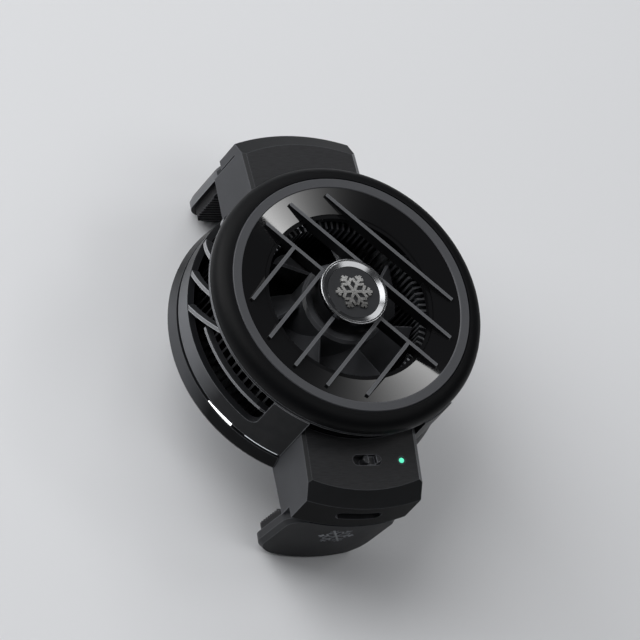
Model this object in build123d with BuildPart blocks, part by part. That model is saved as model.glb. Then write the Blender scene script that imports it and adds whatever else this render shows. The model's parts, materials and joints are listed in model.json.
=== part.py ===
from build123d import *
import math
import os

# A clip-on cooling fan for the back of a phone. Millimetres.
# The origin is the middle of the cold face that touches the phone. +Z runs along the fan's
# axis to the air intake, and +Y runs to the arm that slides out.

# Body heights, one on top of the other from the cold face
plate_proud = 1.2
rear_ring_h = 3.8
light_gap_h = 0.9
band_h = 4.7
vent_h = 10.6
top_ring_h = 0.8
bezel_h = 3.8
floor_t = 1.2

cover_z = plate_proud
floor_z = cover_z + floor_t
cover_top_z = cover_z + rear_ring_h
housing_z = cover_top_z + light_gap_h
vent_z = housing_z + band_h
vent_top_z = vent_z + vent_h
bezel_z = vent_top_z + top_ring_h
face_z = bezel_z + bezel_h

# Body radii and walls
drum_r = 30.0
drum_wall = 1.4
rear_ring_swell = 0.8
rear_ring_flare = 0.7
rear_edge_r = 0.4
rear_ring_lip = 0.35
rear_edge_h = 0.8
light_ring_w = 2.0
bezel_step = 0.3
bezel_rim_h = 0.9
bezel_wall = 1.3
bezel_shelf_w = 1.6
bezel_w = 3.45
face_ring_w = 2.05
face_ring_t = 1.2
face_ring_edge = 0.15
funnel_w = 5.5
funnel_depth = 1.1
funnel_t = 1.0
funnel_drop = 0.2
funnel_foot = 0.6

# General clearances
slip = 0.02
shaft_play = 0.05
soft_gap = 0.1
part_gap = 0.15
arm_gap = 0.3
overrun = 2.0

# Arms, the same shape at both ends
arm_half_w = 12.9
arm_sink = 1.8
arm_length = 14.1
arm_wall = 1.4
arm_front_z = 16.7
arm_front_slope = 6.5
arm_bevel_w = 3.2
arm_bevel_h = 2.4
arm_edge_w = 0.8
arm_edge_d = 0.45
hook_t = 4.3
arm_part_z = 5.0
arm_vent_h = 0.3
slit_w = 0.3
slit_d = 0.5
slit_h = 7.0

# Hooks that grip the phone's edges, and their ribbed pads
hook_half_w = 12.6
hook_drop = 16.2
hook_lean = 6.0
hook_root_h = 6.6
hook_root_t = 1.7
hook_root_gap = 0.5
hook_corner_r = 5.0
hook_edge = 0.8
mark_r = 4.0
mark_z = -1.9
mark_depth = 0.2
mark_line_w = 0.45
pad_t = 2.2
pad_half_w = 11.6
pad_top_gap = 0.6
pad_end_gap = 0.8
tooth_count = 10
tooth_pitch = 1.1
tooth_depth = 0.5
tooth_land = 0.3
tooth_start = 3.1

# Sliding arm
arm_travel = 16.4
rail_t = 1.2
rail_h = 2.2
rail_z_gap = 0.3
rail_inner_y = -16.0
yoke_gap = 2.0
yoke_w = 3.2
yoke_t = 1.2
yoke_screw_x = 6.0
tab_y = -1.0
tab_w = 1.2
tab_reach = 3.0
guide_cheek = 1.1
guide_end_gap = 3.5
spring_r = 1.1
spring_wall = 0.35
spring_anchor_y = -18.6
post_r = 0.6

# Cold plate, cooling module and heat sink
plate_r = 17.5
plate_flange_w = 1.3
plate_flange_t = 0.6
plate_edge = 0.4
seal_in_gap = 0.5
seal_w = 3.0
seal_proud = 0.9
seal_seat = 0.5
seal_edge = 0.3
module_half = 9.0
ceramic_t = 0.6
leg_h = 1.6
leg_count = 8
leg_side_share = 0.5
module_margin = 0.7
foam_w = 0.9
sink_base_t = 2.0
sink_gap = 0.3
fin_length = 9.5
fin_t = 0.45
fin_count = 88
fin_top_gap = 0.3

# Screws
stand_r = 1.7
stand_inset = 3.54
stand_turn = 32.66
screw_bite = 1.6
screw_r = 0.8
screw_head_r = 1.5
screw_head_h = 0.8
screw_slot_w = 0.4
screw_slot_h = 0.4
arm_screw_x = 9.2
arm_screw_gap = 2.7
arm_screw_length = 5.0
arm_boss_r = 1.5

# Fan and motor
rotor_r = 9.1
rotor_top_gap = 4.1
rotor_wall = 0.9
rotor_top_t = 1.3
rotor_edge = 0.6
rotor_bottom_gap = 0.8
yoke_cup_t = 0.6
magnet_t = 0.95
magnet_end_gap = 0.6
magnet_h = 7.0
magnet_air_gap = 0.4
shaft_r = 0.75
shaft_sink = 0.6
shaft_end_gap = 0.7
sleeve_r = 2.0
sleeve_flange_r = 3.4
sleeve_flange_t = 0.4
sleeve_h = 10.6
motor_board_r = 8.6
motor_board_t = 0.8
motor_part = 0.9
motor_part_h = 0.4
stator_hub_r = 3.0
stator_z_gap = 2.4
stator_h = 4.5
pole_w = 1.4
pole_shoe_t = 0.7
pole_shoe_span = 46.0
pole_count = 6
coil_t = 0.7
coil_gap = 0.15
blade_count = 7
blade_tip_gap = 0.9
blade_t = 0.9
blade_root_chord = 11.5
blade_tip_chord = 11.0
blade_root_pitch = 52.0
blade_tip_pitch = 38.0
blade_sweep = 24.0
blade_mid_gap = 6.4

# Intake grille and hub
bar_w = 0.75
bar_pitch = 7.57
bar_depth = 2.8
bar_end_gap = 1.6
grille_ring_w = 0.8
bar_turn = -45.0
bar_side_count = 2
hub_r = 7.4
hub_base_gap = 0.3
hub_step = 0.4
hub_low_edge = 0.5
hub_rim_w = 1.6
hub_rim_h = 1.0
hub_rim_lip = 0.6
hub_rim_slope_h = 0.45
hub_rim_edge = 0.22
badge_t = 0.5
badge_gap = 0.1
emblem_h = 0.35
emblem_r = 4.1
emblem_arm_w = 0.6
emblem_arm_count = 6
emblem_branch_shares = (0.46, 0.74)
emblem_branch_share = 0.5
emblem_branch_top_share = 1.15
emblem_branch_lean = 60.0

# Side vents
vent_start = 122.0
vent_end = 228.0
vent_corner_r = 2.2
vent_rib_start = 186.0
vent_rib_w = 0.8
vent_rib_share = 0.53
vent_rib_bury = 1.0
strut_w = 0.9
strut_twist = 20.0
strut_middles = (133.0, 149.7, 166.0, 181.8)
strut_depth = 1.5
strut_gap = 0.2
recess_wall = 0.9
cheek_w = 1.25

# Control board, switch, light and power port of the fixed arm
port_w = 10.2
port_h = 2.8
port_z = 9.5
socket_w = 8.94
socket_h = 3.26
socket_wall = 0.3
socket_depth = 6.6
socket_set_back = 1.8
tongue_w = 6.7
tongue_t = 0.7
tongue_length = 4.6
board_t = 1.0
board_half_w = 10.6
board_gap = 2.0
board_end_gap = 3.4
board_step_r = 2.1
switch_x = 0.9
switch_gap = 4.5
slot_w = 6.4
slot_h = 2.2
knob_w = 4.1
knob_flange_w = 8.8
knob_flange_d = 3.0
knob_flange_t = 0.4
knob_ridge_w = 1.15
knob_proud = 0.5
knob_dip = 0.5
knob_round = 0.3
knob_gap = 0.1
knob_lift = 0.15
switch_body_w = 7.4
switch_body_d = 3.0
light_x = 8.7
light_gap = 4.6
light_r = 0.55
light_ring_r = 0.85
light_proud = 0.05
light_groove = 0.15
chip_half = 0.5
chip_h = 0.5
lead_r = 0.45
lead_x = 3.0
lead_turn_gap = 2.4
lead_bend_r = 3.0
fan_lead_r = 0.25
fan_lead_x = 0.65
fan_lead_turn_gap = 1.4
fan_lead_bend_r = 2.0


def ring_layer(outer_r, inner_r, low_z, height, mode=Mode.ADD):
    """A flat ring about the axis."""
    with BuildSketch(Plane.XY.offset(low_z)) as flat:
        Circle(outer_r)
        Circle(inner_r, mode=Mode.SUBTRACT)
    extrude(flat.sketch, amount=height, mode=mode)


def disc_layer(radius, low_z, height, mode=Mode.ADD):
    """A flat disc about the axis."""
    with BuildSketch(Plane.XY.offset(low_z)) as flat:
        Circle(radius)
    extrude(flat.sketch, amount=height, mode=mode)


def block(low, high, mode=Mode.ADD):
    """A box between its lowest and its highest corner."""
    sizes = [b - a for a, b in zip(low, high)]
    middle = [(a + b) / 2 for a, b in zip(low, high)]
    with Locations(tuple(middle)):
        Box(*sizes, mode=mode)


def turned(points, mode=Mode.ADD, plane=Plane.XZ):
    """A solid of revolution from its (radius, height) outline."""
    with BuildSketch(plane) as section:
        with BuildLine():
            Polyline(*points, close=True)
        make_face()
    revolve(section.sketch, axis=Axis.Z, mode=mode)


def sector(inner_r, outer_r, start, end, low_z, height, mode=Mode.ADD):
    """A piece of a flat ring between two angles."""
    with BuildSketch(Plane.XY.offset(low_z)) as flat:
        with BuildLine():
            inner = CenterArc((0, 0), inner_r, start, end - start)
            outer = CenterArc((0, 0), outer_r, start, end - start)
            Line(inner @ 0, outer @ 0)
            Line(inner @ 1, outer @ 1)
        make_face()
    extrude(flat.sketch, amount=height, mode=mode)


def pillar(x, y, radius, low_z, height, mode=Mode.ADD):
    """A round post parallel to the axis."""
    with BuildSketch(Plane.XY.offset(low_z)) as flat:
        with Locations((x, y)):
            Circle(radius)
    extrude(flat.sketch, amount=height, mode=mode)


def keep(made, name):
    """Labels a finished piece and writes it."""
    made.part.label = name
    export_step(made.part, f"parts/{name}.step")


os.makedirs("parts", exist_ok=True)

# Pockets of the body that hold the two arms. They leave a thin wall behind each arm.
arm_inner_r = drum_r - arm_sink
pocket_r = arm_inner_r - arm_gap
pocket_half_w = arm_half_w + part_gap
recess_r = pocket_r - recess_wall
cheek_x = pocket_half_w + cheek_w
drum_inner_r = drum_r - drum_wall
rear_ring_r = drum_r + rear_ring_swell

with BuildPart() as arm_pockets:
    block(
        (-pocket_half_w, -rear_ring_r - overrun, -overrun),
        (pocket_half_w, rear_ring_r + overrun, vent_top_z),
    )
    disc_layer(pocket_r, -overrun, vent_top_z + overrun, Mode.SUBTRACT)

# Side hollows of the drum, outside the cheeks that close the pockets
with BuildPart() as side_hollows:
    disc_layer(drum_inner_r, floor_z, face_z - floor_z)
    block((-cheek_x, -drum_r, 0), (cheek_x, drum_r, face_z), Mode.SUBTRACT)

# Struts across one side vent, slanted like the turns of a screw, and the rib between them
strut_mid_r = drum_r - strut_gap - strut_depth / 2
strut_run = math.radians(strut_twist) * strut_mid_r
strut_length = math.hypot(strut_run, vent_h) + strut_w
strut_lean = math.degrees(math.atan2(strut_run, vent_h))
vent_rib_z = vent_z + vent_h * vent_rib_share

with BuildPart() as left_struts:
    for middle in strut_middles:
        out = Vector(1, 0, 0).rotate(Axis.Z, middle)
        across = Plane(
            origin=out * strut_mid_r + Vector(0, 0, vent_z + vent_h / 2),
            x_dir=out.rotate(Axis.Z, 90),
            z_dir=out,
        )
        with BuildSketch(across):
            Rectangle(strut_w, strut_length, rotation=-strut_lean)
        extrude(amount=strut_depth * 2, both=True)
    sector(
        drum_inner_r - part_gap,
        drum_r,
        vent_rib_start,
        vent_end + vent_rib_bury,
        vent_rib_z - vent_rib_w / 2,
        vent_rib_w,
    )
    ring_layer(
        drum_r - strut_gap,
        drum_r - strut_gap - strut_depth,
        vent_z,
        vent_h,
        Mode.INTERSECT,
    )

# Drum with side vents, a pocket for each arm and an air gap in front of each arm
sink_z = floor_z + plate_flange_t + 2 * ceramic_t + leg_h
sink_top_z = sink_z + sink_base_t
fan_lead_z = sink_top_z + sleeve_flange_t + fan_lead_r
bezel_r = drum_r - bezel_step
rim_r = bezel_r - bezel_wall - slip
with BuildPart() as vent_housing:
    ring_layer(drum_r, recess_r, housing_z, vent_top_z - housing_z)
    add(side_hollows.part, mode=Mode.SUBTRACT)
    add(arm_pockets.part, mode=Mode.SUBTRACT)
    block(
        (-pocket_half_w, -drum_r, arm_front_z + arm_vent_h),
        (pocket_half_w, drum_r, vent_top_z),
        Mode.SUBTRACT,
    )
    for start, end in ((vent_start, vent_end), (180 - vent_end, 180 - vent_start)):
        sector(recess_r, drum_r + overrun, start, end, vent_z, vent_h, Mode.SUBTRACT)
    vent_corners = vent_housing.edges().filter_by(GeomType.LINE).filter_by(
        lambda edge: abs(edge.center().Z - vent_z) < slip and abs(edge.center().X) > cheek_x
    )
    fillet(vent_corners, radius=vent_corner_r)
    add(left_struts.part)
    mirror(left_struts.part, about=Plane.YZ)
    ring_layer(bezel_r - slip, recess_r, vent_top_z, top_ring_h)
    ring_layer(rim_r, recess_r, bezel_z, bezel_rim_h)
    with BuildSketch(Plane.XZ):
        with Locations((-fan_lead_x, fan_lead_z), (fan_lead_x, fan_lead_z)):
            Circle(fan_lead_r + part_gap)
    extrude(amount=drum_r, mode=Mode.SUBTRACT)
keep(vent_housing, "vent_housing")

# Rounded front bezel with a stepped seat for the face ring and the funnel
rim_top_z = bezel_z + bezel_rim_h
face_ring_r = bezel_r - bezel_w
ring_inner_r = face_ring_r - face_ring_w
bezel_shelf_r = ring_inner_r - bezel_shelf_w
funnel_mouth_r = ring_inner_r - funnel_w
ring_seat_z = face_z - face_ring_t
funnel_top_z = face_z - funnel_drop
funnel_low_z = funnel_top_z - funnel_depth
funnel_foot_z = funnel_low_z - funnel_foot

with BuildPart() as front_bezel:
    with BuildSketch(Plane.XZ) as section:
        with BuildLine():
            curve = EllipticalCenterArc(
                (face_ring_r + part_gap, rim_top_z),
                bezel_r - face_ring_r - part_gap,
                face_z - rim_top_z,
                start_angle=0,
                arc_size=90,
            )
            Polyline(
                curve @ 1,
                (face_ring_r + part_gap, ring_seat_z),
                (ring_inner_r, ring_seat_z),
                (ring_inner_r, funnel_foot_z),
                (bezel_shelf_r, funnel_foot_z),
                (bezel_shelf_r, rim_top_z),
                (rim_r + slip, rim_top_z),
                (rim_r + slip, bezel_z),
                (bezel_r, bezel_z),
                curve @ 0,
            )
        make_face()
    revolve(section.sketch, axis=Axis.Z)
keep(front_bezel, "front_bezel")

# Flat grey ring around the intake
with BuildPart() as face_ring:
    ring_layer(face_ring_r, ring_inner_r + slip, ring_seat_z, face_ring_t)
    chamfer(face_ring.edges().group_by(Axis.Z)[-1], length=face_ring_edge)
keep(face_ring, "face_ring")

# Glossy cone that leads the air into the fan
with BuildPart() as intake_funnel:
    turned(
        [
            (ring_inner_r, funnel_foot_z),
            (ring_inner_r, funnel_top_z),
            (funnel_mouth_r, funnel_low_z),
            (funnel_mouth_r, funnel_low_z - funnel_t),
            (bezel_shelf_r - part_gap, funnel_low_z - funnel_t),
            (bezel_shelf_r - part_gap, funnel_foot_z),
        ]
    )
keep(intake_funnel, "intake_funnel")

# Slanted grille: three long bars, five short ones across them, and the hub's barrel
rotor_top_z = face_z - rotor_top_gap
hub_low_z = rotor_top_z + hub_base_gap
hub_seat_z = face_z + hub_step
bar_low_z = face_z - bar_depth
bar_end_r = ring_inner_r - bar_end_gap
grille_plane = Plane.XY.offset(bar_low_z).rotated((0, 0, bar_turn))

with BuildPart() as intake_grille:
    with BuildSketch(grille_plane) as bars:
        for step in range(bar_side_count + 1):
            reach = math.sqrt(bar_end_r**2 - (step * bar_pitch) ** 2)
            with Locations((0, step * bar_pitch)):
                Rectangle(2 * reach, bar_w)
        for step in range(-bar_side_count, bar_side_count + 1):
            reach = math.sqrt(bar_end_r**2 - (step * bar_pitch) ** 2)
            with Locations((step * bar_pitch, -reach / 2)):
                Rectangle(bar_w, reach)
    extrude(bars.sketch, amount=bar_depth)
    turned(
        [
            (funnel_mouth_r - soft_gap, bar_low_z - overrun),
            (funnel_mouth_r - soft_gap, funnel_low_z + slip),
            (ring_inner_r, funnel_top_z + slip),
            (ring_inner_r, bar_low_z - overrun),
        ],
        Mode.SUBTRACT,
    )
    ring_layer(
        funnel_mouth_r - soft_gap,
        funnel_mouth_r - soft_gap - grille_ring_w,
        bar_low_z,
        funnel_low_z - bar_low_z - soft_gap,
    )
    disc_layer(hub_r, hub_low_z, hub_seat_z - hub_low_z)
    fillet(intake_grille.edges().filter_by(GeomType.CIRCLE).group_by(Axis.Z)[0], radius=hub_low_edge)
keep(intake_grille, "intake_grille")

# Polished rim that slopes in to the grey badge and its raised six-armed emblem
hub_rim_z = hub_seat_z + hub_rim_h
with BuildPart() as hub_rim:
    turned(
        [
            (hub_r, hub_seat_z),
            (hub_r, hub_rim_z),
            (hub_r - hub_rim_lip, hub_rim_z),
            (hub_r - hub_rim_w, hub_rim_z - hub_rim_slope_h),
            (hub_r - hub_rim_w, hub_seat_z),
        ]
    )
    fillet(hub_rim.edges().filter_by(GeomType.CIRCLE).group_by(Axis.Z)[-1], radius=hub_rim_edge)
keep(hub_rim, "hub_rim")

badge_r = hub_r - hub_rim_w - badge_gap
with BuildPart() as hub_badge:
    disc_layer(badge_r, hub_seat_z, badge_t)
keep(hub_badge, "hub_badge")


def snowflake(radius, line_w):
    """Six arms, each with two pairs of branches, in the sketch being made."""
    with PolarLocations(0, emblem_arm_count):
        with Locations((radius / 2, 0)):
            Rectangle(radius, line_w)
        for share in emblem_branch_shares:
            for side in (-1, 1):
                branch = radius * emblem_branch_share * (emblem_branch_top_share - share)
                lean = side * emblem_branch_lean
                with Locations(
                    (
                        radius * share + branch / 2 * math.cos(math.radians(lean)),
                        branch / 2 * math.sin(math.radians(lean)),
                    )
                ):
                    Rectangle(branch + line_w / 2, line_w, rotation=lean)


with BuildPart() as hub_emblem:
    with BuildSketch(Plane.XY.offset(hub_seat_z + badge_t)) as flake:
        snowflake(emblem_r, emblem_arm_w)
    extrude(flake.sketch, amount=emblem_h)
keep(hub_emblem, "hub_emblem")

# Light guide in the gap behind the drum
with BuildPart() as light_ring:
    ring_layer(drum_r - rear_ring_lip, drum_r - light_ring_w, cover_top_z, light_gap_h)
    add(arm_pockets.part, mode=Mode.SUBTRACT)
keep(light_ring, "light_ring")

# Rear cover: a shallow cup with stands for the heat sink and a peg for each spring
sink_r = recess_r - sink_gap
stand_ring_r = sink_r - stand_inset
stand_x = stand_ring_r * math.cos(math.radians(stand_turn))
stand_y = stand_ring_r * math.sin(math.radians(stand_turn))
rail_z = floor_z + plate_flange_t + rail_z_gap
rail_outer_x = arm_half_w - arm_wall
rail_inner_x = rail_outer_x - rail_t
spring_x = rail_outer_x + tab_reach / 2
lead_z = floor_z + plate_flange_t + ceramic_t + lead_r

with BuildPart() as rear_cover:
    turned(
        [
            (plate_r + part_gap, cover_z),
            (rear_ring_r - rear_edge_r, cover_z),
            (rear_ring_r, cover_z + rear_edge_h),
            (rear_ring_r - rear_ring_flare, cover_top_z),
            (recess_r, cover_top_z),
            (recess_r, floor_z),
            (plate_r + part_gap, floor_z),
        ],
        plane=Plane.YZ,
    )
    add(side_hollows.part, mode=Mode.SUBTRACT)
    add(arm_pockets.part, mode=Mode.SUBTRACT)
    for x in (-stand_x, stand_x):
        for y in (-stand_y, stand_y):
            pillar(x, y, stand_r, floor_z, sink_z - floor_z)
            pillar(x, y, screw_r + shaft_play, cover_z, sink_z - cover_z, Mode.SUBTRACT)
            pillar(x, y, screw_head_r + shaft_play, cover_z, screw_head_h, Mode.SUBTRACT)
    for side in (-1, 1):
        pillar(side * spring_x, spring_anchor_y, post_r, floor_z, rail_z + rail_h - floor_z)
        inner, outer = sorted((side * rail_inner_x, side * rail_outer_x))
        block(
            (inner - part_gap, 0, rail_z - part_gap),
            (outer + part_gap, drum_r, cover_top_z),
            Mode.SUBTRACT,
        )
        with BuildSketch(Plane.XZ):
            with Locations((side * lead_x, lead_z)):
                Circle(lead_r + part_gap)
        extrude(amount=drum_r, mode=Mode.SUBTRACT)
    ring_layer(
        plate_r + seal_in_gap + seal_w,
        plate_r + seal_in_gap,
        cover_z,
        seal_seat,
        Mode.SUBTRACT,
    )
keep(rear_cover, "rear_cover")

with BuildPart() as contact_ring:
    ring_layer(
        plate_r + seal_in_gap + seal_w - slip,
        plate_r + seal_in_gap + slip,
        cover_z - seal_proud,
        seal_proud + seal_seat,
    )
    chamfer(contact_ring.edges().group_by(Axis.Z)[0], length=seal_edge)
keep(contact_ring, "contact_ring")

# Cold plate: the face on the phone, with a flange behind the cover's floor
with BuildPart() as cold_plate:
    disc_layer(plate_r, 0, floor_z)
    chamfer(cold_plate.edges().group_by(Axis.Z)[0], length=plate_edge)
    disc_layer(plate_r + plate_flange_w, floor_z, plate_flange_t)
keep(cold_plate, "cold_plate")

# Cooling module: two ceramic plates with a grid of legs between them
module_z = floor_z + plate_flange_t
leg_pitch = 2 * (module_half - module_margin) / leg_count
for name, low in (("cold_ceramic", module_z), ("hot_ceramic", module_z + ceramic_t + leg_h)):
    with BuildPart() as ceramic:
        block((-module_half, -module_half, low), (module_half, module_half, low + ceramic_t))
    keep(ceramic, name)

with BuildPart() as module_legs:
    with BuildSketch(Plane.XY.offset(module_z + ceramic_t)):
        with GridLocations(leg_pitch, leg_pitch, leg_count, leg_count):
            Rectangle(leg_pitch * leg_side_share, leg_pitch * leg_side_share)
    extrude(amount=leg_h)
keep(module_legs, "module_legs")

foam_inner = module_half + slip
foam_outer = foam_inner + foam_w
with BuildPart() as foam_frame:
    block((-foam_outer, -foam_outer, module_z), (foam_outer, foam_outer, sink_z))
    block(
        (-foam_inner, -foam_inner, module_z),
        (foam_inner, foam_inner, sink_z),
        Mode.SUBTRACT,
    )
keep(foam_frame, "foam_frame")

# Heat sink: a base plate with a ring of radial fins around the fan
fin_top_z = vent_top_z - fin_top_gap
fin_inner_r = sink_r - fin_length
with BuildPart() as heat_sink:
    disc_layer(sink_r, sink_z, sink_base_t)
    with BuildSketch(Plane.XY.offset(sink_top_z)):
        with PolarLocations((fin_inner_r + sink_r) / 2, fin_count):
            Rectangle(sink_r - fin_inner_r, fin_t)
    extrude(amount=fin_top_z - sink_top_z)
    for x in (-stand_x, stand_x):
        for y in (-stand_y, stand_y):
            pillar(x, y, screw_r + shaft_play, sink_z, screw_bite, Mode.SUBTRACT)
keep(heat_sink, "heat_sink")


def rear_screw(x, y, low_z, length):
    """A screw driven from behind, with a slot in its head."""
    pillar(x, y, screw_head_r, low_z, screw_head_h)
    pillar(x, y, screw_r, low_z, length)
    block(
        (x - screw_head_r, y - screw_slot_w / 2, low_z),
        (x + screw_head_r, y + screw_slot_w / 2, low_z + screw_slot_h),
        Mode.SUBTRACT,
    )


with BuildPart() as body_screws:
    for x in (-stand_x, stand_x):
        for y in (-stand_y, stand_y):
            rear_screw(x, y, cover_z, sink_z - cover_z + screw_bite - slip)
keep(body_screws, "body_screws")

# Motor: sleeve on the heat sink, board, stator and coils
board_seat_z = sink_top_z + sleeve_flange_t
motor_board_top_z = board_seat_z + motor_board_t
with BuildPart() as bearing_sleeve:
    disc_layer(sleeve_flange_r, sink_top_z, sleeve_flange_t)
    disc_layer(sleeve_r, sink_top_z, sleeve_h)
    disc_layer(shaft_r + shaft_play, sink_top_z, sleeve_h, Mode.SUBTRACT)
keep(bearing_sleeve, "bearing_sleeve")

with BuildPart() as motor_board:
    ring_layer(motor_board_r, sleeve_r + slip, board_seat_z, motor_board_t)
    with PolarLocations(sleeve_flange_r + motor_part, pole_count):
        with Locations((0, 0, motor_board_top_z + motor_part_h / 2)):
            Box(motor_part, motor_part, motor_part_h)
keep(motor_board, "motor_board")

rotor_inner_r = rotor_r - rotor_wall
cup_outer_r = rotor_inner_r - slip
magnet_outer_r = cup_outer_r - yoke_cup_t - slip
magnet_inner_r = magnet_outer_r - magnet_t
stator_r = magnet_inner_r - magnet_air_gap
stator_z = motor_board_top_z + stator_z_gap
shoe_r = stator_r - pole_shoe_t
with BuildPart() as stator_core:
    ring_layer(stator_hub_r, sleeve_r + slip, stator_z, stator_h)
    with BuildSketch(Plane.XY.offset(stator_z)) as poles:
        with PolarLocations((stator_hub_r + shoe_r) / 2, pole_count):
            Rectangle(shoe_r - stator_hub_r + 2 * shaft_play, pole_w)
    extrude(poles.sketch, amount=stator_h)
    for pole in range(pole_count):
        middle = pole * 360 / pole_count
        sector(
            shoe_r,
            stator_r,
            middle - pole_shoe_span / 2,
            middle + pole_shoe_span / 2,
            stator_z,
            stator_h,
        )
keep(stator_core, "stator_core")

with BuildPart() as stator_coils:
    coil_length = shoe_r - stator_hub_r - 4 * coil_gap
    with PolarLocations((stator_hub_r + shoe_r) / 2 - coil_gap, pole_count):
        with Locations((0, 0, stator_z + stator_h / 2)):
            Box(coil_length, pole_w + 2 * coil_t, stator_h + 2 * coil_t)
            Box(shoe_r, pole_w, stator_h, mode=Mode.SUBTRACT)
keep(stator_coils, "stator_coils")

# Rotor: hub cup with swept blades, steel cup, magnet ring and shaft
rotor_low_z = motor_board_top_z + rotor_bottom_gap
cup_top_z = rotor_top_z - rotor_top_t
blade_z = rotor_top_z - blade_mid_gap
blade_tip_r = fin_inner_r - blade_tip_gap
with BuildPart() as blades:
    for turn in range(blade_count):
        angle = turn * 360 / blade_count
        sections = []
        for radius, trail, chord, pitch in (
            (rotor_inner_r + shaft_play, 0, blade_root_chord, blade_root_pitch),
            (blade_tip_r + blade_t, blade_sweep, blade_tip_chord, blade_tip_pitch),
        ):
            out = Vector(1, 0, 0).rotate(Axis.Z, angle + trail)
            station = Plane(
                origin=out * radius + Vector(0, 0, blade_z),
                x_dir=out.rotate(Axis.Z, 90),
                z_dir=out,
            )
            with BuildSketch(station) as section:
                Rectangle(chord, blade_t, rotation=pitch)
            sections.append(section.sketch)
        loft(sections, ruled=True)
    disc_layer(blade_tip_r, rotor_low_z, rotor_top_z - rotor_low_z, Mode.INTERSECT)

with BuildPart() as impeller:
    disc_layer(rotor_r, rotor_low_z, rotor_top_z - rotor_low_z)
    chamfer(impeller.edges().group_by(Axis.Z)[-1], length=rotor_edge)
    disc_layer(rotor_inner_r, rotor_low_z, cup_top_z - rotor_low_z, Mode.SUBTRACT)
    disc_layer(shaft_r + slip, cup_top_z, shaft_sink, Mode.SUBTRACT)
    add(blades.part)
keep(impeller, "impeller")

with BuildPart() as rotor_yoke:
    disc_layer(cup_outer_r, rotor_low_z, cup_top_z - rotor_low_z)
    disc_layer(
        cup_outer_r - yoke_cup_t,
        rotor_low_z,
        cup_top_z - yoke_cup_t - rotor_low_z,
        Mode.SUBTRACT,
    )
    disc_layer(shaft_r + slip, rotor_low_z, cup_top_z - rotor_low_z, Mode.SUBTRACT)
keep(rotor_yoke, "rotor_yoke")

with BuildPart() as rotor_magnet:
    ring_layer(magnet_outer_r, magnet_inner_r, rotor_low_z + magnet_end_gap, magnet_h)
keep(rotor_magnet, "rotor_magnet")

with BuildPart() as motor_shaft:
    shaft_low_z = sink_top_z + shaft_end_gap
    disc_layer(shaft_r, shaft_low_z, cup_top_z + shaft_sink - shaft_low_z)
keep(motor_shaft, "motor_shaft")

# The form that both arms share. It lies along +Y, and an inset makes its cavity.
arm_outer_r = arm_inner_r + arm_length
arm_shoulder_r = arm_outer_r - arm_bevel_w
arm_back_y = arm_outer_r - hook_t
arm_screw_y = arm_back_y - arm_screw_gap
hook_root_y = arm_back_y - hook_root_gap
front_slope = math.tan(math.radians(arm_front_slope))
bevel_slope = arm_bevel_h / (arm_outer_r - arm_shoulder_r)
shoulder_z = arm_front_z - front_slope * (arm_shoulder_r - arm_inner_r)
bevel_z = shoulder_z - arm_bevel_h


def front_height(y, inset=0.0):
    """Height of the arm's sloping front face, or of its inner face."""
    drop = inset / math.cos(math.radians(arm_front_slope))
    return arm_front_z - front_slope * (y - arm_inner_r) - drop


def bevel_height(radius, inset=0.0):
    """Height of the bevel at the arm's outer end, or of its inner face."""
    return bevel_z + bevel_slope * (arm_outer_r - radius) - inset * math.hypot(1, bevel_slope)


def arm_form(inset, low_z):
    """The arm's block, shrunk by the inset on all sides but the rear."""
    near = 0
    far = arm_outer_r + overrun
    with BuildSketch(Plane.YZ) as side:
        with BuildLine():
            Polyline(
                (near, low_z),
                (far, low_z),
                (far, front_height(far, inset)),
                (near, front_height(near, inset)),
                close=True,
            )
        make_face()
    extrude(side.sketch, amount=arm_half_w - inset, both=True)
    inner_r = arm_inner_r + inset
    outer_r = arm_outer_r - inset
    turned(
        [
            (inner_r, low_z),
            (outer_r, low_z),
            (outer_r, bevel_height(outer_r, inset)),
            (inner_r, bevel_height(inner_r, inset)),
        ],
        Mode.INTERSECT,
    )


with BuildPart() as arm_cavity:
    arm_form(arm_wall, cover_z - overrun)

with BuildPart() as arm_shell:
    arm_form(0, cover_z)
    front = arm_shell.faces().filter_by(GeomType.PLANE).sort_by(Axis.Z)[-1]
    front_edges = front.edges().filter_by(GeomType.LINE)
    chamfer(front_edges, length=arm_edge_w, length2=arm_edge_d, reference=front)
    add(arm_cavity.part, mode=Mode.SUBTRACT)
    block(
        (-arm_half_w, arm_back_y, cover_z),
        (arm_half_w, arm_outer_r + overrun, arm_part_z),
        Mode.SUBTRACT,
    )
    for side in (-1, 1):
        boss_top_z = front_height(arm_screw_y, arm_wall / 2)
        pillar(side * arm_screw_x, arm_screw_y, arm_boss_r, floor_z, boss_top_z - floor_z)
        pillar(
            side * arm_screw_x,
            arm_screw_y,
            screw_r + shaft_play,
            floor_z,
            arm_screw_length,
            Mode.SUBTRACT,
        )

# Rear lid of an arm
lid_half_w = arm_half_w - arm_wall - soft_gap
with BuildPart() as arm_lid:
    block((-lid_half_w, 0, cover_z), (lid_half_w, hook_root_y - soft_gap, floor_z))
    disc_layer(arm_inner_r + arm_wall + soft_gap, cover_z, floor_t, Mode.SUBTRACT)
    for side in (-1, 1):
        x = side * arm_screw_x
        pillar(x, arm_screw_y, screw_r + shaft_play, cover_z, floor_t, Mode.SUBTRACT)
        pillar(x, arm_screw_y, screw_head_r + shaft_play, cover_z, screw_head_h, Mode.SUBTRACT)

with BuildPart() as arm_screws:
    for side in (-1, 1):
        rear_screw(side * arm_screw_x, arm_screw_y, cover_z, floor_t + arm_screw_length - slip)

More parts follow.
